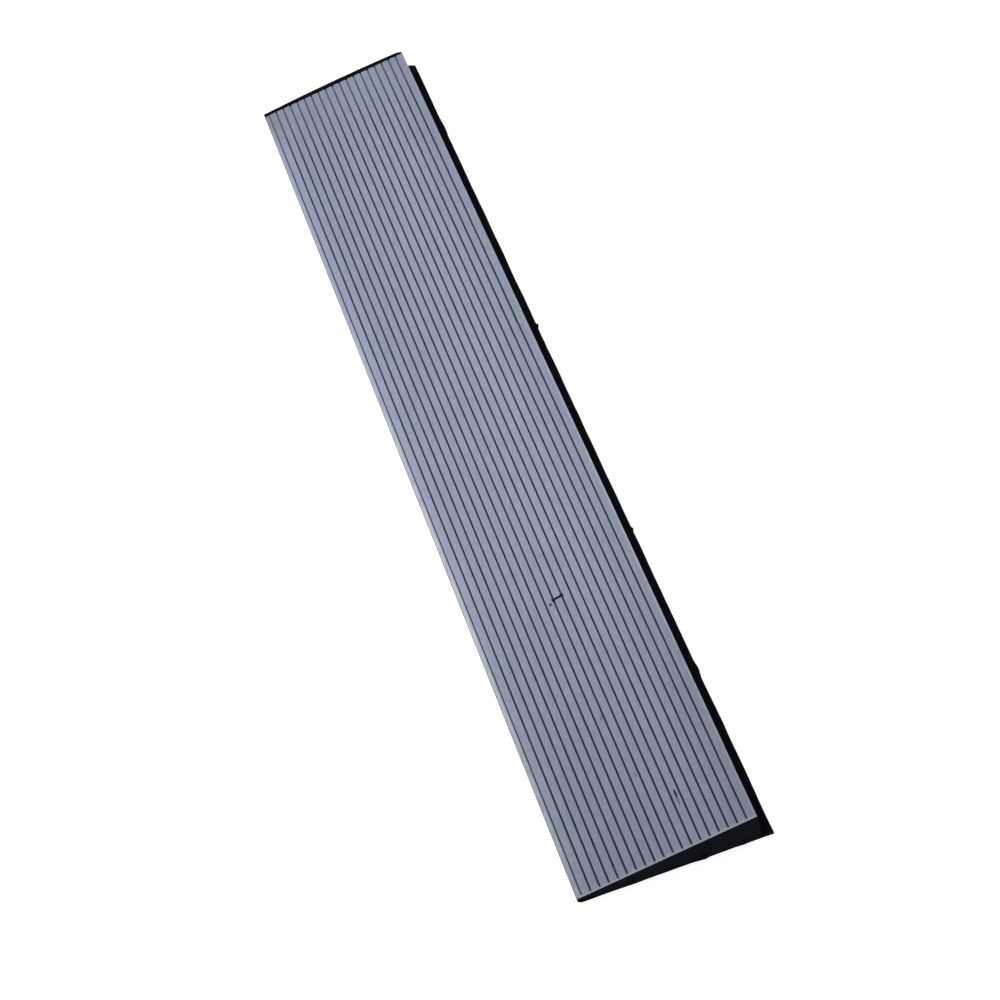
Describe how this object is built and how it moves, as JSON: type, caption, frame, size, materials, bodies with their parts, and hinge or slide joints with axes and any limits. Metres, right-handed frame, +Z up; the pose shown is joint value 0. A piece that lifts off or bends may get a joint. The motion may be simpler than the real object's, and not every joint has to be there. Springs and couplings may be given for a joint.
{
  "type": "threshold wedge ramp",
  "caption": "Low threshold ramp: a ribbed aluminium tread plate on a solid rubber wedge and thin mat, butted against a door threshold.",
  "frame": {"origin": "on the floor, in the middle of the rubber footprint", "axes": "+X along the ramp, +Y towards the high back edge that meets the threshold, +Z up"},
  "size_m": [0.9, 0.12, 0.02],
  "materials": {
    "tread_aluminium": "matt blue-grey anodised, lengthwise extrusion lines",
    "core_rubber": "matt black, saw-cut edges",
    "mat_rubber": "matt black, fine fabric imprint",
    "bonding_tape": "matt grey acrylic foam"
  },
  "bodies": {
    "root": {"tread_plate": "tread_aluminium", "wedge_core": "core_rubber", "base_mat": "mat_rubber", "tread_tape_front": "bonding_tape", "tread_tape_middle": "bonding_tape", "tread_tape_back": "bonding_tape", "mat_tape_front": "bonding_tape", "mat_tape_back": "bonding_tape"}
  },
  "joints": []
}
